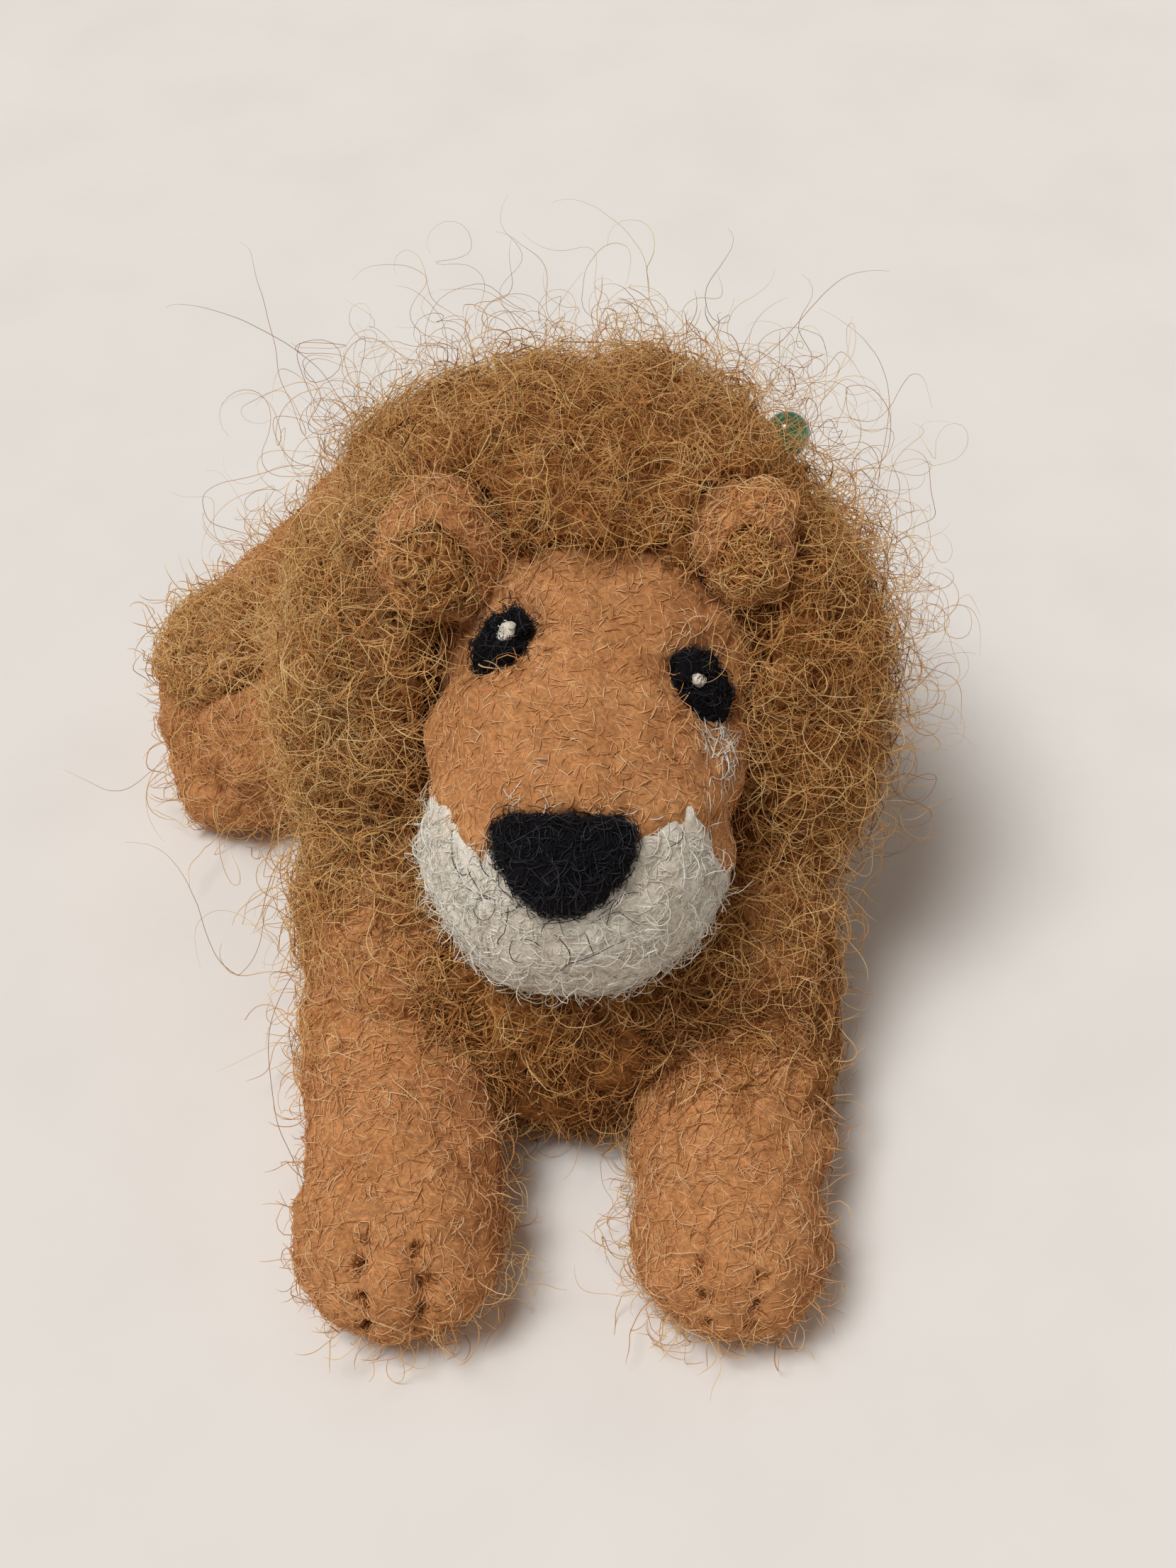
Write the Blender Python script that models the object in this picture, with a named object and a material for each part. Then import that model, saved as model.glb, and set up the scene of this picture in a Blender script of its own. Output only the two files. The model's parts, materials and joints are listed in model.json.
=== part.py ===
"""A small needle-felted lion, lying down with its head raised, with a ball-headed pin in its mane.

Frame: the lion faces -Y, +Z is up, and the origin is on the ground at the middle of its outline.
Left and right are the lion's own, so its left side is at +X.

Every piece of felt is a closed form. A form is a function: called with a growth in millimetres, it
gives the points and faces of the form, grown by that much all round. The plain form becomes the
piece, and the grown form cuts the seat for it in the pieces that it is needled into, so that
neighbours keep a small gap. Design coordinates are millimetres, with y counted back from the tips
of the front toes and x from the line between the front paws.
"""

import math

import bmesh
import bpy
import numpy as np
from mathutils import Matrix, Vector

MM = 0.001
GAP = 0.3            # between two pieces that touch
UP = Vector((0.0, 0.0, 1.0))

# Head: two balls, the skull and the muzzle, one in front of the other.
SKULL_CENTRE = Vector((2.1, 45.4, 33.0))
SKULL_RADII = (14.4, 13.5, 14.0)
MUZZLE_CENTRE = Vector((0.2, 28.8, 29.5))
MUZZLE_RADII = (12.9, 11.6, 11.6)
BRIDGE_RADII = (13.2, 12.3, 12.3)  # the upper half of the muzzle ball, a little proud of the lower
BRIDGE_EDGE = 2.5     # height of its lower edge over the middle of the nose
COAT_THICKNESS = 5.0  # of the coloured wool over the core

# Directions of the features on the two balls, as (degrees to the lion's left, degrees up).
NOSE_AIM = (-2.5, 48.0)
NOSE_RADII = (5.2, 1.9, 4.7)
NOSE_TAPER = 0.26     # wider at the top, narrower at the bottom
NOSE_FLAT_TOP = 2.4   # height of the nose's straight upper edge over its middle
EYE_AIMS = {"right": (-48.0, 44.0), "left": (45.0, 27.0)}
EYE_RADII = {"right": (1.8, 1.5, 3.2), "left": (2.4, 1.5, 3.7)}
EYE_LEANS = {"right": -14.0, "left": 12.0}
GLINT_RADIUS = 0.75
GLINT_OFFSETS = {"right": (-0.3, 1.3), "left": (0.3, 1.4)}  # across and up the eye

# Ears: cupped pads on the upper sides of the skull, with brown wool in the cup.
EAR_CENTRES = {"right": Vector((-10.0, 45.3, 46.4)), "left": Vector((14.0, 46.0, 46.8))}
EAR_RADII = {"right": (5.2, 3.4, 5.7), "left": (4.5, 3.2, 5.0)}
EAR_WALL = 1.7
EAR_TURN = -28.0      # degrees outwards: the cups look a little towards each other
EAR_CUP_SHIFT = (1.5, 2.3, -0.9)  # towards the face, outwards, up

# Body: a lying trunk whose hind end bends to the lion's right, on a flat underside.
BODY_PATH = ((0.5, 29.0, 10.5), (0.0, 42.0, 12.5), (-4.5, 60.0, 15.5), (-10.5, 77.5, 14.2))
BODY_SIZES = ((13.0, 10.5), (16.5, 14.0), (18.5, 17.6), (16.8, 17.0))
CORE_PATH = ((0.0, 36.0, 11.5), (-4.0, 60.0, 15.0), (-9.0, 74.0, 14.5))
CORE_SIZES = ((8.5, 6.5), (12.5, 10.5), (11.5, 10.0))
NECK_PATH = ((-2.0, 60.0, 18.0), (1.5, 51.0, 28.0))
NECK_RADIUS = 8.0

# Front legs lie on the ground, stretched forwards.
PAW_X = {"right": -13.6, "left": 13.4}
PAW_WIDTH = {"right": 8.5, "left": 8.1}
PAW_CENTRE = (6.9, 6.4)      # y, z
PAW_RADII = (8.7, 7.3)       # along y, along z
LEG_SIZES = ((7.9, 7.4), (8.4, 8.2))
LEG_Y = (12.0, 33.0)
LEG_Z = (6.6, 7.6)
LEG_SPREAD = 1.4             # further out at the shoulder than at the paw
TOE_LINES = {"right": (-2.4, 2.4), "left": (-3.2, 1.2)}
TOE_LINE_RADII = (0.45, 2.6, 5.0)
TOE_LINE_PLACE = (-6.6, 2.6)  # y, z from the middle of the paw

# Hind legs are folded at the sides of the hind end.
HIND_AXIS_X = -7.5
HAUNCH_OFFSET = 19.5
HAUNCH_CENTRE = (65.0, 8.6)
HAUNCH_RADII = (13.0, 11.5, 9.0)
HIND_PAW_OFFSET = 24.5
HIND_PAW_CENTRE = (60.0, 4.0)
HIND_PAW_RADII = (6.8, 7.4, 4.6)

# Tail: from the back of the body round the right side, its tuft lying on the right haunch.
TAIL_ROOT = Vector((-13.5, 89.5, 10.5))
TAIL_PATH = (TAIL_ROOT, (-20.5, 93.8, 8.5), (-27.5, 90.0, 7.0), (-32.0, 81.0, 8.5), (-33.0, 72.0, 13.9))
TAIL_RADIUS = 2.5
# Room round the tail in what it is seated in or lies on, so that it can be lifted.
TAIL_ROOM = {("body_coat", "tail"): 1.2, ("haunch_right", "tail"): 0.6, ("haunch_right", "tail_tuft"): 0.8}
TUFT_PATH = ((-33.2, 67.4, 15.2), (-33.8, 63.2, 15.6))
TUFT_SIZES = ((4.4, 3.4), (4.6, 3.2))

RUFF_CLEARANCE = 1.0  # the ruff hangs clear of the ground

# Mane: locks of loose wool tacked round the face, each an ellipsoid (centre, radii).
MANE = {
    "mane_crown": ((2.0, 53.0, 44.6), (17.5, 10.0, 8.6)),
    "mane_nape": ((1.5, 62.0, 35.5), (21.0, 11.0, 14.5)),
    "mane_right_lock": ((-15.0, 49.0, 24.6), (9.6, 13.6, 22.0)),
    "mane_left_lock": ((17.6, 49.0, 25.2), (9.8, 13.6, 22.5)),
    "chest_ruff": ((1.0, 31.5, 10.5), (22.0, 13.8, 14.5)),
}

# Pin: a glass ball on a steel shaft, pushed into the wool.
PIN_HEAD_CENTRE = Vector((18.9, 64.6, 42.0))
PIN_TARGET = Vector((-1.0, 54.0, 17.0))
PIN_HEAD_RADIUS = 2.0
PIN_SHAFT_RADIUS = 0.3
PIN_SHAFT_LENGTH = 30.0

WOOL = {
    "tan_wool": (0.41, 0.18, 0.07),
    "brown_wool": (0.20, 0.095, 0.035),
    "white_wool": (0.70, 0.64, 0.54),
    "black_wool": (0.012, 0.011, 0.012),
    "core_wool": (0.62, 0.55, 0.44),
}


# ---------------------------------------------------------------- forms

def facing(aim, lean=0.0):
    """Axes (across, outwards, up) of a pad facing AIM, (degrees left, degrees up), that LEANs."""
    left, up = (math.radians(a) for a in aim)
    outwards = Vector((math.sin(left) * math.cos(up), -math.cos(left) * math.cos(up), math.sin(up)))
    across = UP.cross(-outwards).normalized()
    upwards = across.cross(-outwards).normalized()
    if upwards.z < 0:
        upwards = -upwards
    turn = Matrix.Rotation(math.radians(lean), 3, outwards)
    return Matrix((turn @ across, outwards, turn @ upwards)).transposed()


def skin(rings, first, last):
    """Points and faces of a closed tube through equal rings of points, with a pole at each end."""
    count = len(rings[0])
    points = [first] + [p for ring in rings for p in ring] + [last]
    faces = []
    for i in range(count):
        j = (i + 1) % count
        faces.append((0, 1 + j, 1 + i))
        for r in range(len(rings) - 1):
            a = 1 + r * count
            faces.append((a + i, a + j, a + count + j, a + count + i))
        a = 1 + (len(rings) - 1) * count
        faces.append((a + i, a + j, len(points) - 1))
    return points, faces


def ellipsoid(centre, radii, axes=None, sides=18, bands=9, flat_top=None, flat_foot=None, taper=0.0):
    """A ball stretched to RADII along AXES, cut level at FLAT_TOP or at FLAT_FOOT where one is given.
    It is wider at the top and narrower at the bottom by the share TAPER."""
    axes = axes or Matrix.Identity(3)

    def form(grow=0.0):
        size = Vector([r + grow for r in radii])
        top = size.z if flat_top is None else flat_top + grow
        foot = -size.z if flat_foot is None else flat_foot - grow
        apex = Vector((0.0, 0.0, size.z))

        def place(x, y, z):
            point = Vector((x * size.x * (1 + taper * z), y * size.y, min(z * size.z, top)))
            if point.z < foot:
                point = apex.lerp(point, (size.z - foot) / (size.z - point.z))
            return Vector(centre) + axes @ point

        rings = []
        for b in range(1, bands):
            tilt = math.pi * b / bands
            rings.append([
                place(
                    math.sin(tilt) * math.cos(2 * math.pi * s / sides),
                    -math.cos(tilt),
                    math.sin(tilt) * math.sin(2 * math.pi * s / sides),
                )
                for s in range(sides)
            ])
        return skin(rings, place(0, -1, 0), place(0, 1, 0))

    return form


def limb(path, sizes, ends=None, sides=16):
    """A tube with domed ends along PATH. SIZES are its half width and half height at each point."""
    path = [Vector(p) for p in path]
    ends = ends or (min(sizes[0]), min(sizes[-1]))

    def form(grow=0.0):
        stations = []
        steps = [path[min(i + 1, len(path) - 1)] - path[max(i - 1, 0)] for i in range(len(path))]
        dome = [math.radians(a) for a in (65, 40, 18)]
        first = path[0] - steps[0].normalized() * (ends[0] + grow)
        last = path[-1] + steps[-1].normalized() * (ends[1] + grow)
        for a in dome:
            shift = steps[0].normalized() * (ends[0] + grow) * math.sin(a)
            stations.append((path[0] - shift, steps[0], sizes[0], math.cos(a)))
        for point, step, size in zip(path, steps, sizes):
            stations.append((point, step, size, 1.0))
        for a in reversed(dome):
            shift = steps[-1].normalized() * (ends[1] + grow) * math.sin(a)
            stations.append((path[-1] + shift, steps[-1], sizes[-1], math.cos(a)))
        rings = []
        for point, step, (wide, high), share in stations:
            across = step.cross(UP).normalized()
            upwards = across.cross(step).normalized()
            rings.append([
                point
                + across * (wide + grow) * share * math.cos(2 * math.pi * s / sides)
                + upwards * (high + grow) * share * math.sin(2 * math.pi * s / sides)
                for s in range(sides)
            ])
        return skin(rings, first, last)

    return form


def smooth_path(points, count):
    """COUNT points along a Catmull-Rom curve through POINTS."""
    points = [Vector(p) for p in points]
    padded = [2 * points[0] - points[1]] + points + [2 * points[-1] - points[-2]]
    out = []
    for k in range(count):
        where = k * (len(points) - 1) / (count - 1)
        i = min(int(where), len(points) - 2)
        t = where - i
        a, b, c, d = padded[i:i + 4]
        curve = (2 * a - 5 * b + 4 * c - d) * t * t + (3 * b - a - 3 * c + d) * t ** 3
        out.append(0.5 * (2 * b + (c - a) * t + curve))
    return out


# ---------------------------------------------------------------- making objects

def material(name, colour, roughness=0.95, metallic=0.0):
    mat = bpy.data.materials.get(name)
    if mat is None:
        mat = bpy.data.materials.new(name)
        mat.use_nodes = True
        shader = mat.node_tree.nodes["Principled BSDF"]
        shader.inputs["Base Color"].default_value = (*colour, 1.0)
        shader.inputs["Roughness"].default_value = roughness
        shader.inputs["Metallic"].default_value = metallic
        mat.diffuse_color = (*colour, 1.0)
    return mat


def make_object(name, form, grow=0.0):
    """An object from a form, in metres, with its faces turned outwards."""
    points, faces = form(grow)
    mesh = bpy.data.meshes.new(name)
    mesh.from_pydata([tuple(p * MM) for p in points], [], faces)
    work = bmesh.new()
    work.from_mesh(mesh)
    bmesh.ops.recalc_face_normals(work, faces=work.faces)
    work.to_mesh(mesh)
    work.free()
    thing = bpy.data.objects.new(name, mesh)
    bpy.context.scene.collection.objects.link(thing)
    return thing


def volume(mesh):
    work = bmesh.new()
    work.from_mesh(mesh)
    amount = work.calc_volume()
    work.free()
    return amount


def difference(thing, tool, solver):
    """The mesh that is left when the tool is cut out of the object."""
    modifier = thing.modifiers.new("seat", "BOOLEAN")
    modifier.operation = "DIFFERENCE"
    modifier.solver = solver
    modifier.object = tool
    depsgraph = bpy.context.evaluated_depsgraph_get()
    mesh = bpy.data.meshes.new_from_object(thing.evaluated_get(depsgraph))
    thing.modifiers.clear()
    return mesh


def cut(thing, form, grow=GAP):
    """Cuts the grown form out of the object. Where EXACT drops more than the form holds, MANIFOLD cuts it."""
    tool = make_object("cutter", form, grow)
    tool.hide_render = True
    tool.display_type = "WIRE"
    least = 0.999 * (volume(thing.data) - volume(tool.data))
    mesh = difference(thing, tool, "EXACT")
    if volume(mesh) < least or not mesh.vertices:
        mesh = difference(thing, tool, "MANIFOLD")
    thing.data = mesh
    bpy.data.objects.remove(tool)


def level_underside(thing, height=0.0):
    """Cuts the object off flat at HEIGHT mm over the ground."""
    work = bmesh.new()
    work.from_mesh(thing.data)
    bmesh.ops.bisect_plane(
        work, geom=work.verts[:] + work.edges[:] + work.faces[:], dist=1e-7,
        plane_co=(0, 0, height * MM), plane_no=(0, 0, 1), clear_inner=True,
    )
    rim = [e for e in work.edges if e.is_boundary]
    if rim:
        bmesh.ops.holes_fill(work, edges=rim, sides=0)
    bmesh.ops.recalc_face_normals(work, faces=work.faces)
    work.to_mesh(thing.data)
    work.free()


def connected_parts(work):
    """The mesh's separate bodies, each as a list of points."""
    parts = []
    seen = set()
    for start in work.verts:
        if start in seen:
            continue
        part, ahead = [], [start]
        seen.add(start)
        while ahead:
            point = ahead.pop()
            part.append(point)
            for edge in point.link_edges:
                other = edge.other_vert(point)
                if other not in seen:
                    seen.add(other)
                    ahead.append(other)
        parts.append(part)
    return parts


def tidy(thing):
    """Joins the points that cutting leaves almost on top of each other, and drops scraps cut right off."""
    work = bmesh.new()
    work.from_mesh(thing.data)
    bmesh.ops.remove_doubles(work, verts=work.verts, dist=0.02 * MM)
    bmesh.ops.dissolve_degenerate(work, edges=work.edges, dist=0.01 * MM)
    scraps = sorted(connected_parts(work), key=len)[:-1]
    bmesh.ops.delete(work, geom=[point for part in scraps for point in part], context="VERTS")
    bmesh.ops.triangulate(work, faces=work.faces)
    work.to_mesh(thing.data)
    work.free()


def set_origin(thing, point):
    """Moves the object's origin to POINT, in mm, and leaves its surface where it is."""
    thing.data.transform(Matrix.Translation(-point * MM))
    thing.location = point * MM


# ---------------------------------------------------------------- the pieces

def on_ball(centre, radii, aim, sink=0.0):
    """The point where direction AIM leaves a ball, SINK mm under its surface."""
    outwards = facing(aim).col[1]
    reach = 1.0 / math.sqrt(sum((outwards[k] / radii[k]) ** 2 for k in range(3)))
    return centre + outwards * (reach - sink)


def skull_forms():
    inner = [r - COAT_THICKNESS for r in SKULL_RADII]
    return {
        "head_core": ellipsoid(SKULL_CENTRE, inner, sides=14, bands=8),
        "head_coat": ellipsoid(SKULL_CENTRE, SKULL_RADII, sides=18, bands=10),
        "muzzle": ellipsoid(MUZZLE_CENTRE, MUZZLE_RADII, sides=18, bands=10),
        "muzzle_bridge": ellipsoid(
            MUZZLE_CENTRE, BRIDGE_RADII, facing(NOSE_AIM), sides=20, bands=10, flat_foot=BRIDGE_EDGE,
        ),
    }


def nose_form():
    middle = on_ball(MUZZLE_CENTRE, MUZZLE_RADII, NOSE_AIM, sink=0.5)
    return ellipsoid(
        middle, NOSE_RADII, facing(NOSE_AIM), sides=16, bands=8, flat_top=NOSE_FLAT_TOP, taper=NOSE_TAPER,
    )


def eye_forms(side):
    aim = EYE_AIMS[side]
    axes = facing(aim, EYE_LEANS[side])
    middle = on_ball(SKULL_CENTRE, SKULL_RADII, aim, sink=0.4)
    across, up = GLINT_OFFSETS[side]
    width, depth, height = EYE_RADII[side]
    proud = depth * math.sqrt(1 - (across / width) ** 2 - (up / height) ** 2)
    glint = middle + axes @ Vector((across, proud - 0.1, up))
    glint_radii = (GLINT_RADIUS, 0.45, GLINT_RADIUS)
    return {
        "eye_" + side: ellipsoid(middle, EYE_RADII[side], axes, sides=14, bands=8),
        "eye_glint_" + side: ellipsoid(glint, glint_radii, axes, sides=8, bands=5),
    }


def ear_forms(side):
    """The cupped ear, the space of its cup, and the wool that fills most of the cup."""
    centre, radii = EAR_CENTRES[side], EAR_RADII[side]
    sign = side_sign(side)
    axes = facing((sign * EAR_TURN, 34.0))
    inwards, outwards, up = EAR_CUP_SHIFT
    middle = centre + axes @ Vector((-sign * inwards, outwards, up))
    cup = [r - EAR_WALL for r in radii]
    return {
        "ear": ellipsoid(centre, radii, axes, sides=16, bands=8),
        "cup": ellipsoid(middle, cup, axes, sides=14, bands=7),
        "lining": ellipsoid(middle - axes.col[1] * 0.2, [r - 0.5 for r in cup], axes, sides=14, bands=7),
    }


def side_sign(side):
    return -1.0 if side == "right" else 1.0


def front_leg_forms(side):
    sign = side_sign(side)
    paw = Vector((PAW_X[side], *PAW_CENTRE))
    path = [(PAW_X[side] + sign * LEG_SPREAD * k, LEG_Y[k], LEG_Z[k]) for k in (0, 1)]
    toe_lines = [
        ellipsoid(paw + Vector((x, *TOE_LINE_PLACE)), TOE_LINE_RADII, sides=8, bands=6)
        for x in TOE_LINES[side]
    ]
    return limb(path, LEG_SIZES), ellipsoid(paw, (PAW_WIDTH[side], *PAW_RADII), sides=16, bands=9), toe_lines


def hind_leg_forms(side):
    sign = side_sign(side)
    haunch = Vector((HIND_AXIS_X + sign * HAUNCH_OFFSET, *HAUNCH_CENTRE))
    paw = Vector((HIND_AXIS_X + sign * HIND_PAW_OFFSET, *HIND_PAW_CENTRE))
    return ellipsoid(haunch, HAUNCH_RADII), ellipsoid(paw, HIND_PAW_RADII, sides=14, bands=8)


def pin_forms():
    """The ball, the shaft down to its point, and the channel that the shaft runs in."""
    along = (PIN_TARGET - PIN_HEAD_CENTRE).normalized()
    start = PIN_HEAD_CENTRE + along * (PIN_HEAD_RADIUS + GAP)
    tip = start + along * PIN_SHAFT_LENGTH
    size = (PIN_SHAFT_RADIUS, PIN_SHAFT_RADIUS)
    shaft = limb((start, tip), (size, size), ends=(0.05, 1.5), sides=8)
    channel = limb((PIN_HEAD_CENTRE, tip), (size, size), ends=(0.05, 1.5), sides=8)
    return ellipsoid(PIN_HEAD_CENTRE, [PIN_HEAD_RADIUS] * 3, sides=16, bands=10), shaft, channel


def build():
    forms = skull_forms()
    forms["nose"] = nose_form()
    for side in ("right", "left"):
        forms.update(eye_forms(side))
    ears = {side: ear_forms(side) for side in ("right", "left")}
    forms["neck"] = limb(NECK_PATH, [(NECK_RADIUS, NECK_RADIUS)] * 2, sides=14)
    forms["body_core"] = limb(CORE_PATH, CORE_SIZES, sides=14)
    forms["body_coat"] = limb(BODY_PATH, BODY_SIZES, ends=(9.5, 14.0), sides=20)
    tail_points = smooth_path(TAIL_PATH, 11)
    forms["tail"] = limb(tail_points, [(TAIL_RADIUS, TAIL_RADIUS)] * len(tail_points), sides=10)
    forms["tail_tuft"] = limb(TUFT_PATH, TUFT_SIZES, ends=(3.6, 4.2), sides=12)
    forms["pin_head"], forms["pin_shaft"], channel = pin_forms()
    for name, (centre, radii) in MANE.items():
        forms[name] = ellipsoid(centre, radii, sides=18, bands=10)
    toe_lines = {}
    for side in ("right", "left"):
        leg, paw, toe_lines[side] = front_leg_forms(side)
        forms["front_leg_" + side], forms["front_paw_" + side] = leg, paw
        forms["haunch_" + side], forms["hind_paw_" + side] = hind_leg_forms(side)
        forms["ear_" + side], forms["ear_lining_" + side] = ears[side]["ear"], ears[side]["lining"]

    sides = ("right", "left")
    limbs = [kind + "_" + side for side in sides for kind in ("front_paw", "front_leg", "hind_paw", "haunch")]
    ear_names = ["ear_right", "ear_left"]
    linings = ["ear_lining_right", "ear_lining_left"]
    face = ["muzzle", "muzzle_bridge", "head_coat"]
    # Which grown forms cut each piece. What is cut comes after what it is needled on to.
    cuts = {
        "eye_right": ["eye_glint_right"],
        "eye_left": ["eye_glint_left"],
        "muzzle_bridge": ["nose", "head_core"],
        "muzzle": ["nose", "muzzle_bridge"],
        "ear_lining_right": ["head_coat"],
        "ear_lining_left": ["head_coat"],
        "ear_right": ["head_coat"],
        "ear_left": ["head_coat"],
        "body_core": ["head_coat"] + limbs,
        "neck": ["head_core", "body_core"],
        "head_coat": ["head_core", "neck", "muzzle", "muzzle_bridge", "eye_right", "eye_left"],
        "front_leg_right": ["front_paw_right"],
        "front_leg_left": ["front_paw_left"],
        "haunch_right": ["hind_paw_right", "tail", "tail_tuft"],
        "haunch_left": ["hind_paw_left"],
        "tail_tuft": ["tail"],
        "body_coat": ["head_coat", "muzzle", "muzzle_bridge", "body_core", "neck", "tail"] + limbs,
        "mane_crown": face + ear_names + linings + ["neck", "body_coat"],
        "mane_nape": face + ear_names + ["neck", "body_coat", "mane_crown"] + limbs,
        "mane_right_lock": face + ear_names + ["neck", "body_coat", "mane_crown", "mane_nape"] + limbs,
        "mane_left_lock": face + ear_names + ["neck", "body_coat", "mane_crown", "mane_nape"] + limbs,
        "chest_ruff": face + ["neck", "body_coat", "mane_right_lock", "mane_left_lock"] + limbs,
    }
    slots = {
        "pin_head": ("pin_glass", (0.0, 0.16, 0.09), 0.08, 0.0),
        "pin_shaft": ("pin_steel", (0.6, 0.6, 0.62), 0.25, 1.0),
    }
    wool_of = {
        "muzzle": "white_wool", "eye_glint_right": "white_wool", "eye_glint_left": "white_wool",
        "nose": "black_wool", "eye_right": "black_wool", "eye_left": "black_wool",
        "head_core": "core_wool", "body_core": "core_wool", "tail_tuft": "brown_wool",
        "ear_lining_right": "brown_wool", "ear_lining_left": "brown_wool",
    }
    wool_of.update({name: "brown_wool" for name in MANE})

    pieces = {}
    for name, form in forms.items():
        thing = make_object(name, form)
        for other in cuts.get(name, []):
            cut(thing, forms[other], TAIL_ROOM.get((name, other), GAP))
        if name.startswith("ear_") and "lining" not in name:
            cut(thing, ears[name[4:]]["cup"], 0.0)
        if name.startswith("front_paw"):
            for line in toe_lines[name[10:]]:
                cut(thing, line, 0.0)
        if name in ("neck", "body_core", "body_coat") or name in MANE:
            cut(thing, channel)
            cut(thing, forms["pin_head"])
        level_underside(thing, RUFF_CLEARANCE if name == "chest_ruff" else 0.0)
        tidy(thing)
        pieces[name] = thing
        if name in slots:
            colour_name, colour, roughness, metallic = slots[name]
            thing.data.materials.append(material(colour_name, colour, roughness, metallic))
        else:
            colour_name = wool_of.get(name, "tan_wool")
            thing.data.materials.clear()
            thing.data.materials.append(material(colour_name, WOOL[colour_name]))
        thing.data.shade_smooth()

    corners = np.array([v.co for thing in pieces.values() for v in thing.data.vertices])
    low, high = corners.min(axis=0), corners.max(axis=0)
    middle = Vector(((low[0] + high[0]) / 2, (low[1] + high[1]) / 2, low[2]))
    for name, thing in pieces.items():
        if name.startswith("tail"):
            origin = TAIL_ROOT
        elif name.startswith("pin"):
            origin = PIN_HEAD_CENTRE
        else:
            origin = sum((v.co for v in thing.data.vertices), Vector()) / len(thing.data.vertices) / MM
        set_origin(thing, Vector(origin))
        thing.location -= middle


for old in list(bpy.data.objects):
    bpy.data.objects.remove(old)
build()
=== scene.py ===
"""The looks of the needle-felted lion: felted skins, loose wool fibres, the pin, floor, light and camera.

Each skin is one closed mesh made from the CAD solids that it replaces: they are swelled a little, melted
together by a voxel remesh, smoothed, and then dented the way needled wool is. Wool fibres are thin closed
tubes. Matted fibres creep over a skin at a small height, and loose ones curl off into the air. A fibre
takes one of its wool's shades, each a material, so the mixed colour of carded wool comes from fibre to
fibre. Lengths are in metres, and MM turns millimetres into them. Left and right are the lion's own: it
faces -Y, with its right side at -X.
"""

import json
import math

import bmesh
import bpy
import numpy as np
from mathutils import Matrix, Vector
from mathutils.bvhtree import BVHTree


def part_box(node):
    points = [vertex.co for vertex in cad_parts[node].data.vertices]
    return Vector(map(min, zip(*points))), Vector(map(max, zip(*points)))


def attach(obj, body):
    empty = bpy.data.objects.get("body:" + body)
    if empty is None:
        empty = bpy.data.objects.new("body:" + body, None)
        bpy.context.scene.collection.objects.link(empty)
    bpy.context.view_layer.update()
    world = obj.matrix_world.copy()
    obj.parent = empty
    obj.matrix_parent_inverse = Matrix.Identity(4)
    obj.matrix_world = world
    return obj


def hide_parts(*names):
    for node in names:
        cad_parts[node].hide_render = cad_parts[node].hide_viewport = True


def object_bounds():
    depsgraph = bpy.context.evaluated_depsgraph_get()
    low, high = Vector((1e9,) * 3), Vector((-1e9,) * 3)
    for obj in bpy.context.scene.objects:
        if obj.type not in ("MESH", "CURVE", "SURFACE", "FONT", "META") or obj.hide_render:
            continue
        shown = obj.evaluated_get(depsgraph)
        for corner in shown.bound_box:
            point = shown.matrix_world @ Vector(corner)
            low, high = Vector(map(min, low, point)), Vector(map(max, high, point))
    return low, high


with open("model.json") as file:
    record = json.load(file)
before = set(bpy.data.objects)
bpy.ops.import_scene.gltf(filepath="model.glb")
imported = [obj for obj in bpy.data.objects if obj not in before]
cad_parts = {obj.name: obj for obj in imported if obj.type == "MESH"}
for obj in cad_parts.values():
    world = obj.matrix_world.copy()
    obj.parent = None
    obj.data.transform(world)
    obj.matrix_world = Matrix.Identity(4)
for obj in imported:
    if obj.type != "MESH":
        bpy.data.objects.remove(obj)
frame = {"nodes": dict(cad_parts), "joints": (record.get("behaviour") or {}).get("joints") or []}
cad_box = [list(corner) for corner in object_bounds()]

MM = 0.001
SIDES = ("right", "left")


def centre_of(node):
    low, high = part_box(node)
    return np.array((low + high) / 2)


def half_size_of(node):
    low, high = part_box(node)
    return np.array((high - low) / 2)


def unit(vectors):
    return vectors / np.maximum(np.linalg.norm(vectors, axis=-1, keepdims=True), 1e-12)


def ramp(values, start, end):
    """Rises, or falls back, from 0 at START to 1 at END."""
    return np.clip((values - start) / (end - start), 0, 1)


def add_object(name, data):
    thing = bpy.data.objects.new(name, data)
    bpy.context.scene.collection.objects.link(thing)
    return thing


# ---------------------------------------------------------------- materials

def add_node(tree, kind, **sockets):
    """A new node, with values for its SOCKETS, named with _ for a space."""
    node = tree.nodes.new(kind)
    for name, value in sockets.items():
        node.inputs[name.replace("_", " ")].default_value = value
    return node


def ramp_node(tree, stops):
    """A colour ramp through STOPS, pairs of a place from 0 to 1 and a colour."""
    node = tree.nodes.new("ShaderNodeValToRGB")
    elements = node.color_ramp.elements
    while len(elements) < len(stops):
        elements.new(0.5)
    for element, (place, colour) in zip(elements, stops):
        element.position = place
        element.color = (*colour, 1.0)
    return node


def shader_of(name):
    mat = bpy.data.materials.new(name)
    mat.use_nodes = True
    return mat, mat.node_tree, mat.node_tree.nodes["Principled BSDF"]


def scaled(colour, factor):
    """A lighter or darker colour."""
    return tuple(min(c * factor, 1.0) for c in colour)


def multiply(tree, one, other):
    """The product of two colours."""
    node = tree.nodes.new("ShaderNodeMixRGB")
    node.blend_type = "MULTIPLY"
    node.inputs["Fac"].default_value = 1.0
    tree.links.new(one, node.inputs["Color1"])
    tree.links.new(other, node.inputs["Color2"])
    return node.outputs["Color"]


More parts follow.
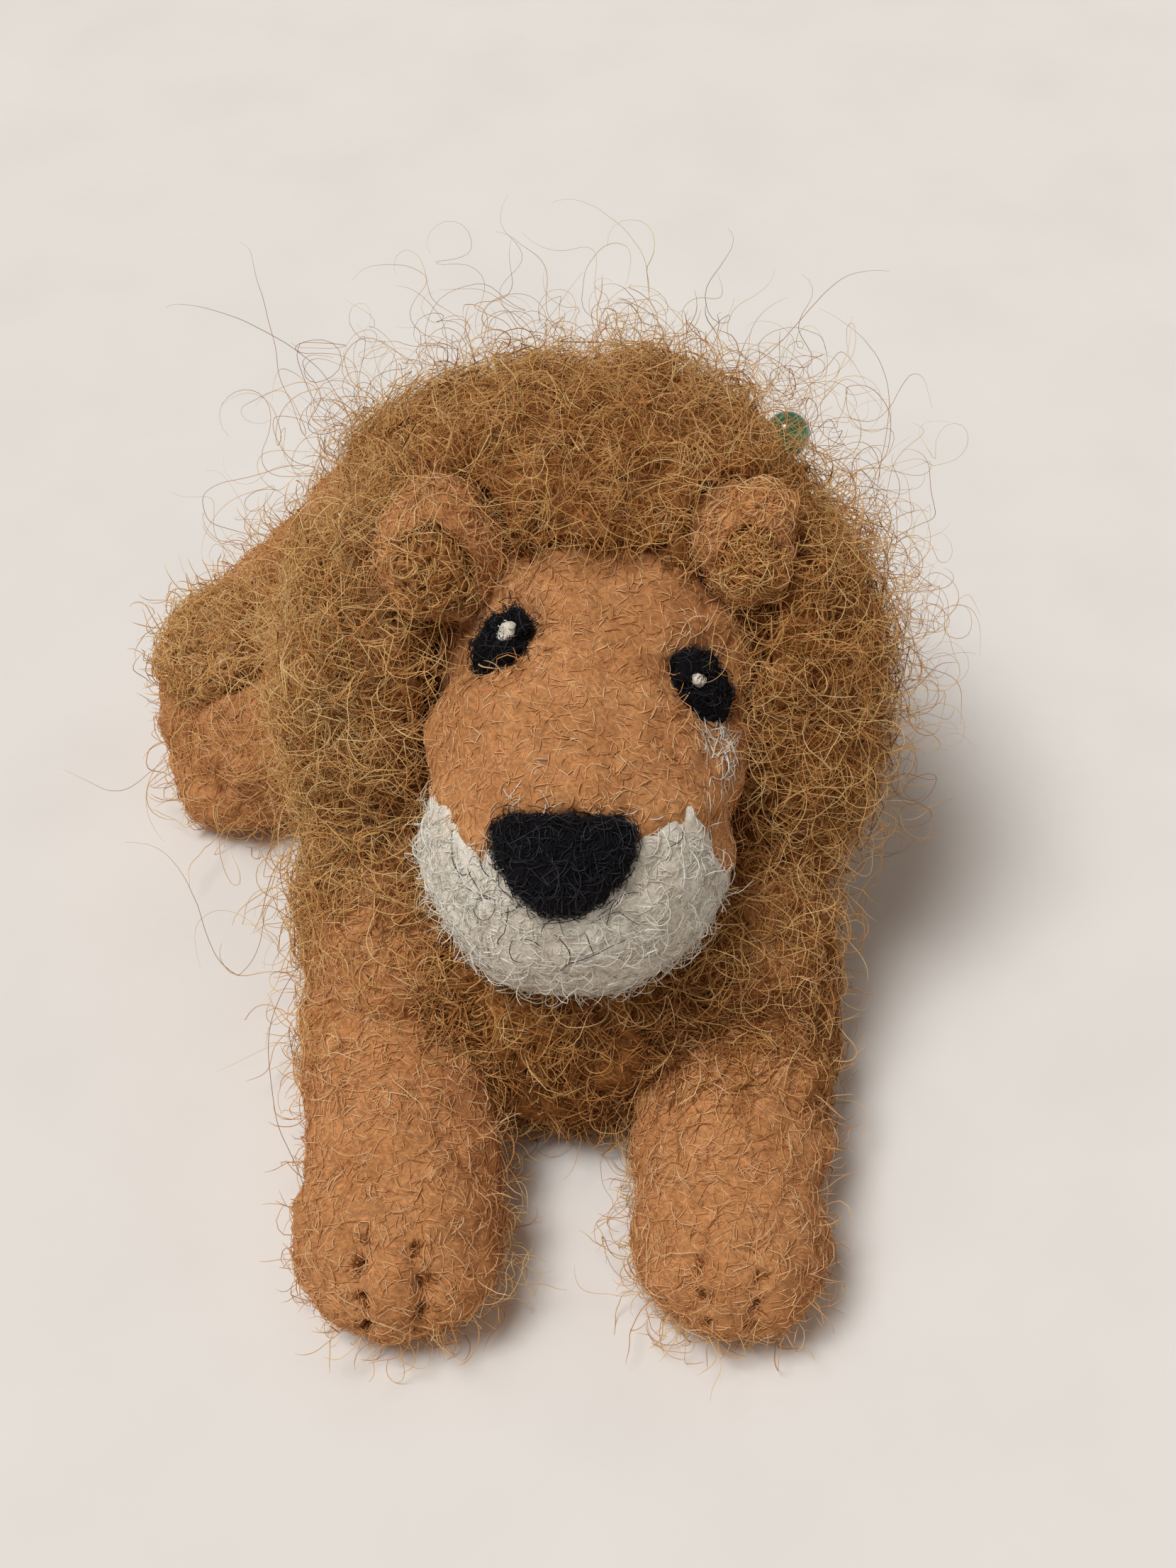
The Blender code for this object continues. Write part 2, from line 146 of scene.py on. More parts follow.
STREAK_TURNS = ((0.0, 0.0, 0.0), (0.0, 0.5, 1.1), (0.9, 0.0, 2.2), (1.2, 1.0, 0.4), (0.3, 1.9, 2.7))
STREAK_STRETCH = (4.5, 1.0, 1.0)
STREAK_SCALE = 2800.0


def streaks(tree, place):
    """Short fibres that cross each other: stretched noise, turned five ways, the lightest on top."""
    top = None
    for turn in STREAK_TURNS:
        frame_of = tree.nodes.new("ShaderNodeMapping")
        frame_of.vector_type = "TEXTURE"
        frame_of.inputs["Rotation"].default_value = turn
        frame_of.inputs["Scale"].default_value = STREAK_STRETCH
        grain = add_node(
            tree, "ShaderNodeTexNoise", Scale=STREAK_SCALE, Detail=2.0, Roughness=0.5, Distortion=0.6,
        )
        tree.links.new(place.outputs["Object"], frame_of.inputs["Vector"])
        tree.links.new(frame_of.outputs["Vector"], grain.inputs["Vector"])
        if top is None:
            top = grain.outputs["Fac"]
            continue
        both = tree.nodes.new("ShaderNodeMath")
        both.operation = "MAXIMUM"
        tree.links.new(top, both.inputs[0])
        tree.links.new(grain.outputs["Fac"], both.inputs[1])
        top = both.outputs["Value"]
    return top


# Painted light and shade on the felt: the higher a fibre lies, the lighter it is painted, and the gaps between
# fibres are painted darker.
FIBRE_PAINTED_LIGHT = ((0.52, 0.55), (0.59, 0.85), (0.67, 1.1), (0.75, 1.4))     # height of a fibre, its lightness
SLOW_TONES = ((0.35, (0.86, 0.80, 0.75)), (0.65, (1.0, 1.0, 1.0)))


def felt(name, colour, bump=0.4, sheen=0.2, contrast=1.0, fade=None):
    """Needled wool: crossing fibres, with painted light on those that lie on top and painted shade in the gaps
    between them, over slow changes of tone.
    FADE is another colour with the two places along X, in mm, between which the wool turns into it."""
    mat, tree, shader = shader_of(name)
    link = tree.links.new
    place = tree.nodes.new("ShaderNodeTexCoord")
    fibre = streaks(tree, place)
    tone = add_node(tree, "ShaderNodeTexNoise", Scale=260.0, Detail=3.0, Roughness=0.5)
    painted_fibre_light = ramp_node(tree, [(height, (1 + (light - 1) * contrast,) * 3) for height, light in FIBRE_PAINTED_LIGHT])
    slow = ramp_node(tree, SLOW_TONES)
    base = tree.nodes.new("ShaderNodeMixRGB")
    base.inputs["Fac"].default_value = 0.0
    base.inputs["Color1"].default_value = (*colour, 1.0)
    if fade is not None:
        base.inputs["Color2"].default_value = (*fade[0], 1.0)
        parts = tree.nodes.new("ShaderNodeSeparateXYZ")
        across = add_node(tree, "ShaderNodeMapRange", From_Min=fade[1] * MM, From_Max=fade[2] * MM)
        link(place.outputs["Object"], parts.inputs["Vector"])
        link(parts.outputs["X"], across.inputs["Value"])
        link(across.outputs["Result"], base.inputs["Fac"])
    dents = add_node(tree, "ShaderNodeBump", Strength=bump, Distance=0.2 * MM)
    rough = add_node(tree, "ShaderNodeMapRange", To_Min=0.8, To_Max=1.0)
    link(place.outputs["Object"], tone.inputs["Vector"])
    link(fibre, painted_fibre_light.inputs["Fac"])
    link(tone.outputs["Fac"], slow.inputs["Fac"])
    coloured = multiply(tree, base.outputs["Color"], painted_fibre_light.outputs["Color"])
    link(multiply(tree, coloured, slow.outputs["Color"]), shader.inputs["Base Color"])
    link(fibre, dents.inputs["Height"])
    link(dents.outputs["Normal"], shader.inputs["Normal"])
    link(fibre, rough.inputs["Value"])
    link(rough.outputs["Result"], shader.inputs["Roughness"])
    shader.inputs["Sheen Weight"].default_value = sheen
    shader.inputs["Sheen Tint"].default_value = (*scaled(colour, 1.6), 1.0)
    shader.inputs["Specular IOR Level"].default_value = 0.15
    return mat


def shades(name, colours):
    """The materials of one wool's fibres, a shade each."""
    mats = []
    for k, colour in enumerate(colours):
        mat, _, shader = shader_of(f"{name}_fibre_{k + 1}")
        shader.inputs["Base Color"].default_value = (*colour, 1.0)
        shader.inputs["Roughness"].default_value = 0.75
        shader.inputs["Specular IOR Level"].default_value = 0.2
        mats.append(mat)
    return mats


TAN = (0.57, 0.262, 0.104)
# BROWN is partly the wool's own colour and partly painted shade: it is dark so that the gaps between the mane's
# fibres look shaded.
BROWN = (0.39, 0.162, 0.046)
BLOND = (0.72, 0.46, 0.25)
WHITE = (0.80, 0.75, 0.66)
BLACK = (0.005, 0.004, 0.006)
CORE = (0.60, 0.55, 0.46)

# The felt of each slot's wool, and the shades of its fibres from dark to light.
FELTS = {
    "tan_wool": felt("tan_felt", TAN, bump=0.28, contrast=0.7),
    "brown_wool": felt("brown_felt", BROWN, fade=(BLOND, -3.0, -17.0)),
    "white_wool": felt("white_felt", WHITE, bump=0.22, contrast=0.45),
    "black_wool": felt("black_felt", BLACK, sheen=0.03),
    "core_wool": felt("core_felt", CORE),
}
FIBRES = {
    "tan_wool": shades("tan", [
        (0.54, 0.235, 0.082), (0.65, 0.315, 0.125), (0.74, 0.395, 0.175), (0.80, 0.46, 0.22),
        (0.84, 0.56, 0.31),
    ]),
    "brown_wool": shades("brown", [
        (0.27, 0.098, 0.024), (0.44, 0.178, 0.049), (0.60, 0.275, 0.090), (0.70, 0.375, 0.125),
        (0.79, 0.48, 0.185), (0.87, 0.60, 0.28),
    ]),
    "white_wool": shades("white", [(0.72, 0.66, 0.57), (0.81, 0.77, 0.68), (0.90, 0.87, 0.80)]),
    "black_wool": shades("black", [(0.006, 0.006, 0.008), (0.014, 0.013, 0.017), (0.042, 0.040, 0.047)]),
}


# ---------------------------------------------------------------- skins

def ripples(points, wavelength, seed, waves=36):
    """Smooth noise, mostly between -1 and 1: a sum of waves that run in random directions."""
    rng = np.random.default_rng(seed)
    runs = unit(rng.normal(size=(waves, 3))) / (wavelength * rng.uniform(0.7, 1.5, (waves, 1)))
    phases = rng.uniform(0, 2 * math.pi, waves)
    return np.cos(points @ runs.T * (2 * math.pi) + phases).sum(axis=1) * math.sqrt(2 / waves) * 0.7


def melted(nodes, swell, voxel, smooth, balls=()):
    """One closed mesh round the given CAD nodes, swelled, and BALLS of wool, each a middle and its radii in mm.
    It is remeshed in steps of VOXEL and smoothed SMOOTH times."""
    shell = bmesh.new()
    for middle, radii in balls:
        made = bmesh.ops.create_icosphere(shell, subdivisions=4, radius=1.0)
        for point in made["verts"]:
            point.co = Vector(middle) + Vector([r * MM * c for r, c in zip(radii, point.co)])
    for node in nodes:
        part = bmesh.new()
        part.from_mesh(frame["nodes"][node].data)
        bmesh.ops.remove_doubles(part, verts=part.verts, dist=0.001 * MM)
        bmesh.ops.recalc_face_normals(part, faces=part.faces)
        part.normal_update()
        for point, normal in [(v, v.normal.copy()) for v in part.verts]:
            point.co += normal * swell
        swelled = bpy.data.meshes.new("part")
        part.to_mesh(swelled)
        part.free()
        shell.from_mesh(swelled)
        bpy.data.meshes.remove(swelled)
    mesh = bpy.data.meshes.new("melted")
    shell.to_mesh(mesh)
    shell.free()
    thing = add_object("melted", mesh)
    remesh = thing.modifiers.new("melt", "REMESH")
    remesh.mode = "VOXEL"
    remesh.voxel_size = voxel
    if smooth:
        relax = thing.modifiers.new("relax", "SMOOTH")
        relax.factor = 0.5
        relax.iterations = smooth
    depsgraph = bpy.context.evaluated_depsgraph_get()
    made = bpy.data.meshes.new_from_object(thing.evaluated_get(depsgraph))
    bpy.data.objects.remove(thing)
    return made


def points_of(mesh):
    flat = np.empty(len(mesh.vertices) * 3, np.float32)
    mesh.vertices.foreach_get("co", flat)
    return flat.reshape(-1, 3).astype(float)


def normals_of(mesh):
    flat = np.empty(len(mesh.vertices) * 3, np.float32)
    mesh.vertex_normals.foreach_get("vector", flat)
    return flat.reshape(-1, 3).astype(float)


def set_points(mesh, points):
    mesh.vertices.foreach_set("co", points.astype(np.float32).ravel())
    mesh.update()


LUMP_LENGTH = 6.0 * MM
PIT_LENGTH = 1.6 * MM


def skin(name, nodes, slot, body="lion", swell=0.25, voxel=0.5, smooth=6, lumps=0.0, pits=0.0,
         shape=None, seed=1, grounded=True, over=(), balls=()):
    """A felted skin in place of NODES, which reaches over the nodes OVER and takes in BALLS of wool.
    SWELL, VOXEL, LUMPS and PITS are in mm. SHAPE takes points and gives more height in mm."""
    mesh = melted([*nodes, *over], swell * MM, voxel * MM, smooth, balls)
    points, normals = points_of(mesh), normals_of(mesh)
    height = lumps * ripples(points, LUMP_LENGTH, seed) + pits * ripples(points, PIT_LENGTH, seed + 1)
    if shape is not None:
        height = height + shape(points)
    points = points + normals * (height * MM)[:, None]
    if grounded:
        points[:, 2] = np.maximum(points[:, 2], 0.0)
    set_points(mesh, points)
    mesh.materials.clear()
    mesh.materials.append(FELTS[slot])
    mesh.shade_smooth()
    mesh.name = name
    thing = add_object(name, mesh)
    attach(thing, body)
    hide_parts(*nodes)
    return thing


# ---------------------------------------------------------------- fibres

def scatter(thing, count, rng, weigh=None):
    """COUNT points spread over a skin, with their normals. WEIGH gives each place its share."""
    mesh = thing.data
    mesh.calc_loop_triangles()
    corners = np.empty(len(mesh.loop_triangles) * 3, np.int32)
    mesh.loop_triangles.foreach_get("vertices", corners)
    corners = corners.reshape(-1, 3)
    points, normals = points_of(mesh), normals_of(mesh)
    a, b, c = (points[corners[:, k]] for k in range(3))
    share = np.linalg.norm(np.cross(b - a, c - a), axis=1)
    if weigh is not None:
        share = share * weigh((a + b + c) / 3, unit(np.cross(b - a, c - a)))
    picks = rng.choice(len(corners), count, p=share / share.sum())
    u, v = rng.random((2, count, 1))
    over = u + v > 1
    u, v = np.where(over, 1 - u, u), np.where(over, 1 - v, v)
    where = a[picks] * (1 - u - v) + b[picks] * u + c[picks] * v
    n = [normals[corners[picks, k]] for k in range(3)]
    return where, unit(n[0] * (1 - u - v) + n[1] * u + n[2] * v)


def wandering(count, steps, rng, keep=0.75):
    """A slow random walk for each of COUNT fibres, about 1 in size, one value a step."""
    value = rng.normal(size=count)
    values = []
    for _ in range(steps):
        value = keep * value + math.sqrt(1 - keep * keep) * rng.normal(size=count)
        values.append(value)
    return np.array(values).T


LOOSE_ENDS = 0.45      # share of the matted fibres with one end that stands off
SINK = 0.05            # depth of their held ends in the skin, in mm


def matted(thing, count, length, steps, lift, bend, rng, weigh=None, flow=None):
    """Fibres that creep over a skin. LENGTH and LIFT are ranges in mm, BEND is in radians per mm, and FLOW
    gives the way they tend to run from where they start."""
    tree = BVHTree.FromPolygons([v.co for v in thing.data.vertices], [p.vertices for p in thing.data.polygons])
    where, normals = scatter(thing, count, rng, weigh)
    heading = unit(np.cross(normals, rng.normal(size=(count, 3))))
    if flow is not None:
        heading = unit(heading + flow(where))
    reach = rng.uniform(*length, count)
    step = reach / steps * MM
    tops = rng.uniform(*lift, count)
    loose_end = rng.random(count) < LOOSE_ENDS
    turns = wandering(count, steps, rng) * bend * (step / MM)[:, None]
    bias = rng.normal(size=count) * bend * 0.5 * step / MM
    path = []
    for k in range(steps + 1):
        share = k / steps
        rise = np.where(loose_end, share ** 1.5, math.sin(math.pi * share))
        height = (tops * rise - SINK * (1 - rise)) * MM
        for i in range(count):
            where[i], normals[i] = tree.find_nearest(Vector(where[i]))[:2]
        path.append(where + normals * height[:, None])
        if k < steps:
            heading = unit(heading - normals * (heading * normals).sum(1, keepdims=True))
            turn = (turns[:, k] + bias)[:, None]
            heading = heading * np.cos(turn) + np.cross(normals, heading) * np.sin(turn)
            where = where + heading * step[:, None]
    return np.stack(path, axis=1)


SPREAD = 0.7           # how far a loose fibre's first heading strays from the skin's normal
ROOT = 0.3 * MM        # depth of its root


def loose(where, normals, length, steps, curl, rng, outward=1.0, pull=0.0, wave=0.5):
    """Fibres that leave a skin and curl in the air. LENGTH and CURL are ranges in mm, of their lengths and of
    their curls' radii. WAVE turns the plane of the curl from step to step, and PULL draws them outwards."""
    count = len(where)
    heading = unit(normals * outward + rng.normal(size=(count, 3)) * SPREAD)
    axis = unit(rng.normal(size=(count, 3)))
    rate = 1.0 / rng.uniform(*curl, count)
    step = rng.uniform(*length, count) / steps
    point = where - normals * ROOT
    path = [point]
    for k in range(steps):
        axis = unit(axis + rng.normal(size=(count, 3)) * wave)
        heading = heading + np.cross(axis, heading) * (rate * step)[:, None]
        heading = unit(heading + normals * (pull * step)[:, None])
        point = point + heading * (step * MM)[:, None]
        path.append(point)
    return np.stack(path, axis=1)


ROOM = 8.5 * MM        # that loose wool may take past the CAD's box
LIMIT_LOW = np.array(cad_box[0]) - ROOM
LIMIT_HIGH = np.array(cad_box[1]) + ROOM
FAR_BELOW = -1.0
LIMIT_SIDES = np.array((LIMIT_LOW[0], LIMIT_LOW[1], FAR_BELOW))
SOFT_EDGE = 3.0 * MM
CLEAR_OF_FLOOR = 0.06 * MM


def kept_in(path):
    """The fibres that stay in the room that loose wool may take, bent back from its edge and the floor."""
    past = np.maximum(path - LIMIT_HIGH, LIMIT_SIDES - path).max(axis=(1, 2))
    path = path[past < 0]
    over = np.maximum(path - (LIMIT_HIGH - SOFT_EDGE), 0.0)
    path = path - over + SOFT_EDGE * (1 - np.exp(-over / SOFT_EDGE))
    under = np.maximum((LIMIT_LOW + SOFT_EDGE) - path, 0.0)
    path = path + under - SOFT_EDGE * (1 - np.exp(-under / SOFT_EDGE))
    path[..., 2] = np.maximum(path[..., 2], CLEAR_OF_FLOOR)
    return path


PIN_MIDDLE = centre_of("pin_head")
PIN_CLEARANCE = half_size_of("pin_head").max() + 1.1 * MM


def clear_of(path, middle, clearance):
    """Only the fibres that stay at least CLEARANCE away from MIDDLE."""
    away = np.linalg.norm(path - middle, axis=-1).min(axis=1)
    return path[away > clearance]


FIBRE_SIDES = 3
TAPER = ((0, 0.15, 0.8, 1), (0.6, 1, 1, 0.3))     # places along a fibre, its thickness there


def tubes(name, paths, slot, radius, rng, body, weights):
    """One mesh of closed tubes along PATHS, a list of arrays (fibre, step, place). RADIUS is in mm, and
    WEIGHTS are the shares of the wool's shades; None gives them equal shares."""
    mats = FIBRES[slot]
    all_points, all_faces, all_totals, all_shades, base = [], [], [], [], 0
    for path in paths:
        path = clear_of(kept_in(path), PIN_MIDDLE, PIN_CLEARANCE)
        count, rings = path.shape[:2]
        ahead = unit(np.gradient(path, axis=1))
        side = unit(np.cross(ahead[:, 0], rng.normal(size=(count, 3))))
        taper = np.interp(np.linspace(0, 1, rings), *TAPER)
        thick = radius * MM * rng.uniform(0.75, 1.25, count)
        points = np.empty((count, rings, FIBRE_SIDES, 3))
        for k in range(rings):
            side = unit(side - ahead[:, k] * (side * ahead[:, k]).sum(1, keepdims=True))
            other = np.cross(ahead[:, k], side)
            for s in range(FIBRE_SIDES):
                turn = 2 * math.pi * s / FIBRE_SIDES
                spoke = side * math.cos(turn) + other * math.sin(turn)
                points[:, k, s] = path[:, k] + spoke * (thick * taper[k])[:, None]
        ring = np.arange(rings - 1)[:, None] * FIBRE_SIDES
        s = np.arange(FIBRE_SIDES)
        nxt = (s + 1) % FIBRE_SIDES
        quads = np.stack([ring + s, ring + nxt, ring + FIBRE_SIDES + nxt, ring + FIBRE_SIDES + s], axis=-1)
        last = (rings - 1) * FIBRE_SIDES
        one = np.concatenate([quads.reshape(-1), [2, 1, 0], [last, last + 1, last + 2]])
        totals = np.concatenate([np.full((rings - 1) * FIBRE_SIDES, 4), [3, 3]])
        starts = base + np.arange(count)[:, None] * rings * FIBRE_SIDES
        all_faces.append((starts + one).ravel())
        all_totals.append(np.tile(totals, count))
        shade = rng.choice(len(mats), count, p=weights)
        all_shades.append(np.repeat(shade, len(totals)))
        all_points.append(points.reshape(-1, 3))
        base += count * rings * FIBRE_SIDES
    points, corners = np.concatenate(all_points), np.concatenate(all_faces)
    totals, shade = np.concatenate(all_totals), np.concatenate(all_shades)
    mesh = bpy.data.meshes.new(name)
    mesh.vertices.add(len(points))
    mesh.vertices.foreach_set("co", points.astype(np.float32).ravel())
    mesh.loops.add(len(corners))
    mesh.loops.foreach_set("vertex_index", corners.astype(np.int32))
    mesh.polygons.add(len(totals))
    mesh.polygons.foreach_set("loop_start", (np.cumsum(totals) - totals).astype(np.int32))
    mesh.polygons.foreach_set("loop_total", totals.astype(np.int32))
    mesh.polygons.foreach_set("material_index", shade.astype(np.int32))
    for mat in mats:
        mesh.materials.append(mat)
    mesh.update(calc_edges=True)
    mesh.shade_smooth()
    thing = add_object(name, mesh)
    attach(thing, body)


# ---------------------------------------------------------------- the body and legs

TOE_LINES = {"right": (-2.4, 2.2), "left": (-2.6, 1.6)}     # mm across each paw
TOE_DEPTH = {"right": 1.5, "left": 0.9}
TOE_LINE_WIDTH = 0.5
TOE_REACH = 11.0
FRONT_PIECES = [kind + side for side in SIDES for kind in ("front_leg_", "front_paw_")]
HIND_PIECES = [kind + side for side in SIDES for kind in ("haunch_", "hind_paw_")]


def toe_dents(points):
    """Lines pressed into the fronts of the front paws, in mm."""
    depth = np.zeros(len(points))
    for side in SIDES:
        middle = centre_of("front_paw_" + side)
        away = (points - middle) / MM
        up = np.degrees(np.arctan2(away[:, 2] + 0.5, -away[:, 1]))
        window = ramp(up, -15, 0) * ramp(up, 72, 52) * (away[:, 1] < 3)
        window = window * (np.linalg.norm(away[:, 1:], axis=1) < TOE_REACH)
        for x in TOE_LINES[side]:
            wander = 0.35 * np.sin(up / 9.0 + x)
            broken = 0.55 + 0.45 * np.sin(up / 3.2 + 2.0 * x)
            line = np.exp(-(((away[:, 0] - x + wander) / TOE_LINE_WIDTH) ** 2))
            depth -= TOE_DEPTH[side] * broken * window * line
    return depth


def beside(node, shift, radii):
    """A ball of wool with its middle SHIFT mm from a node's middle."""
    return centre_of(node) + np.array(shift) * MM, radii


SHOULDERS = [
    beside("front_leg_right", (0.6, 7.0, 4.5), (8.8, 10.5, 9.5)),
    beside("front_leg_left", (-0.6, 7.0, 4.5), (8.8, 10.5, 9.5)),
]
body_felt = skin("body_felt", ["body_coat"] + FRONT_PIECES + HIND_PIECES, "tan_wool", swell=0.2, voxel=0.5,
                 smooth=7, lumps=0.35, pits=0.12, shape=toe_dents, balls=SHOULDERS)


# ---------------------------------------------------------------- the head

MUZZLE_LOW, MUZZLE_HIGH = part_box("muzzle")
MUZZLE_WIDTH = (MUZZLE_HIGH.x - MUZZLE_LOW.x) / 2
MUZZLE_RADIUS = 0.9 * MUZZLE_WIDTH
MUZZLE_MIDDLE = np.array((
    (MUZZLE_LOW.x + MUZZLE_HIGH.x) / 2, MUZZLE_LOW.y + MUZZLE_RADIUS, MUZZLE_LOW.z + MUZZLE_RADIUS,
))
FACE_TILT = math.radians(48.0)
FACE_UP = np.array((0.0, math.sin(FACE_TILT), math.cos(FACE_TILT)))
# The upper edge of the white wool, from the right to the left of the muzzle: places across, heights.
WHITE_EDGE_X = (-1.0, -0.9, -0.72, -0.5, -0.4, 0.3, 0.42, 0.55, 0.72, 0.84, 1.0)
WHITE_EDGE_UP = (0.28, 0.34, 0.16, -0.05, 0.08, 0.12, 0.04, 0.12, 0.28, 0.12, -0.3)


def white_margin(points):
    """How far, in mm, a point of the face lies inside the white of the muzzle; negative outside."""
    away = points - MUZZLE_MIDDLE
    across = away[:, 0] / MUZZLE_WIDTH
    up = away @ FACE_UP / MUZZLE_RADIUS
    edge = np.interp(across, WHITE_EDGE_X, WHITE_EDGE_UP)
    ragged = 0.45 * ripples(points, 1.7 * MM, 41)
    return (edge - up) * MUZZLE_RADIUS / MM + ragged


def right_cheek_trim(points):
    """The muzzle is a little flatter on its right side, in mm."""
    across = (points - MUZZLE_MIDDLE)[:, 0] / MUZZLE_WIDTH
    return -1.2 * np.clip((-across - 0.45) / 0.4, 0, 1)


def edge_step(points):
    """The step at the edge of the white, in mm, which keeps one wool over the other on each side."""
    return 0.2 * np.tanh(white_margin(points) / 0.5)


def white_over(points):
    """White wool stands out a little inside its edge."""
    return edge_step(points) + right_cheek_trim(points)


SOCKET_DEPTH = 0.55
SOCKET_RADIUS = {"right": 4.4, "left": 4.8}


def tan_over(points):
    """Tan wool lies over the white outside its edge, and thins out round the eyes."""
    height = -edge_step(points) + right_cheek_trim(points)
    for side in SIDES:
        away = np.linalg.norm(points - centre_of("eye_" + side), axis=1) / MM
        height -= SOCKET_DEPTH * np.exp(-((away / SOCKET_RADIUS[side]) ** 6))
    return height


HEAD_MIDDLE = centre_of("head_coat")


def behind_muzzle(share, shift, radii):
    """A ball of wool SHIFT mm from a place on the way from the head's middle, 0, to the muzzle's, 1."""
    return share * MUZZLE_MIDDLE + (1 - share) * HEAD_MIDDLE + np.array(shift) * MM, radii


CHEEKS = [
    behind_muzzle(0.62, (-0.8, 0, 3.2), (12.3, 10.5, 9.4)),
    behind_muzzle(0.45, (-6.4, -1.5, 0.5), (7.2, 9.0, 8.0)),
    behind_muzzle(0.45, (6.2, -1.5, 0.5), (7.0, 9.0, 8.0)),
]
head_felt = skin("head_felt", ["head_coat", "muzzle_bridge"], "tan_wool", swell=0.1, voxel=0.4, smooth=24,
                 lumps=0.25, pits=0.1, shape=tan_over, seed=5, over=["muzzle"], balls=CHEEKS)
muzzle_felt = skin("muzzle_felt", ["muzzle"], "white_wool", swell=0.1, voxel=0.4, smooth=16, lumps=0.2,
                   pits=0.1, shape=white_over, seed=5, over=["muzzle_bridge"])
nose_felt = skin("nose_felt", ["nose"], "black_wool", swell=0.25, voxel=0.25, smooth=4, pits=0.1, seed=11)

eyes, glints, ears, cups = {}, {}, {}, {}
for side in SIDES:
    eyes[side] = skin(f"eye_{side}_felt", [f"eye_{side}"], "black_wool", swell=0.06, voxel=0.16, smooth=3,
                      lumps=0.1, pits=0.22, seed=13)
    glints[side] = skin(f"eye_glint_{side}_felt", [f"eye_glint_{side}"], "white_wool", swell=-0.1, voxel=0.1,
                        smooth=1, pits=0.22)
    ears[side] = skin(f"ear_{side}_felt", [f"ear_{side}"], "tan_wool", swell=0.15, voxel=0.3, smooth=8,
                      lumps=0.3, pits=0.12, seed=15)
    cups[side] = skin(f"ear_{side}_cup_felt", [f"ear_lining_{side}"], "brown_wool", swell=0.0, voxel=0.3,
                      smooth=3, pits=0.3, seed=17)


# ---------------------------------------------------------------- the mane

MANE = ["mane_crown", "mane_nape", "mane_right_lock", "mane_left_lock", "chest_ruff"]
MANE_DEPTH = 1.5     # of the loose fibres that lie over the matted wool


def under_the_locks(points):
    """Leaves room for the loose fibres, in mm."""
    return np.full(len(points), -MANE_DEPTH)


OVER_SHOULDERS = [
    beside("front_leg_right", (1.0, 10.5, 7.0), (9.6, 9.5, 9.5)),
    beside("front_leg_left", (-1.0, 10.5, 7.0), (9.6, 9.5, 9.5)),
]
mane_mat = skin("mane_mat", MANE, "brown_wool", swell=0.2, voxel=0.7, smooth=12, lumps=0.7, pits=0.45,
                shape=under_the_locks, seed=21, balls=OVER_SHOULDERS)


# ---------------------------------------------------------------- the tail

tail_felt = skin("tail_felt", ["tail"], "tan_wool", "tail_body", swell=0.1, voxel=0.35, smooth=4, lumps=0.2,
                 pits=0.08, seed=25, grounded=False)
tuft_mat = skin("tail_tuft_mat", ["tail_tuft"], "brown_wool", "tail_body", swell=0.0, voxel=0.35, smooth=4,
                lumps=0.3, pits=0.3, seed=27, grounded=False)


# ---------------------------------------------------------------- wool on the skins

rng = np.random.default_rng(2024)     # every fibre's draws come from here, in the order of the pieces
FACE_MIDDLE = centre_of("nose")
LEG_MIDDLE_Y = centre_of("front_leg_left")[1]
TAIL_ROOT = next(np.array(joint["pos_m"]) for joint in frame["joints"] if joint["name"] == "tail_lift")
IN_FRONT_OF_FACE = FACE_MIDDLE + np.array((0.0, -4.0, 9.0)) * MM
FACE_CLEARANCE = 20 * MM     # that the longest strays keep from there
FIBRE_RADIUS = 0.042

# Shares of the shades of a slot's fibres, from dark to light; a slot that isn't there has equal shares.
LIGHT_MIX = {"tan_wool": (0.08, 0.2, 0.3, 0.27, 0.15), "brown_wool": (0.02, 0.08, 0.2, 0.3, 0.26, 0.14)}
DARKEST = {"brown_wool": (0.85, 0.15, 0.0, 0.0, 0.0, 0.0)}
DARK_MIX = {"brown_wool": (0.25, 0.33, 0.22, 0.12, 0.06, 0.02)}
BLOND_MIX = {"brown_wool": (0.0, 0.02, 0.08, 0.2, 0.35, 0.35)}
EVEN_MIX = {"tan_wool": (0.13, 0.22, 0.27, 0.23, 0.15), "brown_wool": (0.12, 0.24, 0.26, 0.2, 0.12, 0.06)}


def frizz(thing, count, length, steps, curl, outward, weigh=None, wave=0.5, pull=0.0):
    """Loose fibres that start from places on a skin, shared out by WEIGH."""
    where, normals = scatter(thing, count, rng, weigh)
    return loose(where, normals, length, steps, curl, rng, outward, pull, wave)


def several(name, pieces, make, slot, radius=FIBRE_RADIUS, body="lion", mix=EVEN_MIX):
    """Fibre pieces NAME_1, NAME_2 and so on, each small enough for the export to keep it whole. MAKE gives the
    paths of one piece's fibres."""
    for k in range(pieces):
        tubes(f"{name}_{k + 1}", make(), slot, radius, rng, body, mix.get(slot))


def out_from_face(where):
    """The way the mane's wool runs: away from the nose and a little down."""
    return unit(where - FACE_MIDDLE) * 0.9 + np.array((0, 0, -0.25))


def within(points, middle, reach):
    """1 at MIDDLE, falling to 0 at about REACH mm from it."""
    return np.exp(-(np.linalg.norm(points - middle, axis=1) / (reach * MM)) ** 4)


def near(node, reach):
    """Gives more of the fibres to places within about REACH mm of a node's middle."""
    middle = centre_of(node)
    return lambda points, normals: within(points, middle, reach)


# The functions below, and the ones that near() makes, take points of a skin and its normals there, and give
# each point its share of the fibres.

def off_the_floor(points, normals):
    """Everywhere but underneath."""
    return (normals[:, 2] > -0.7) * 1.0


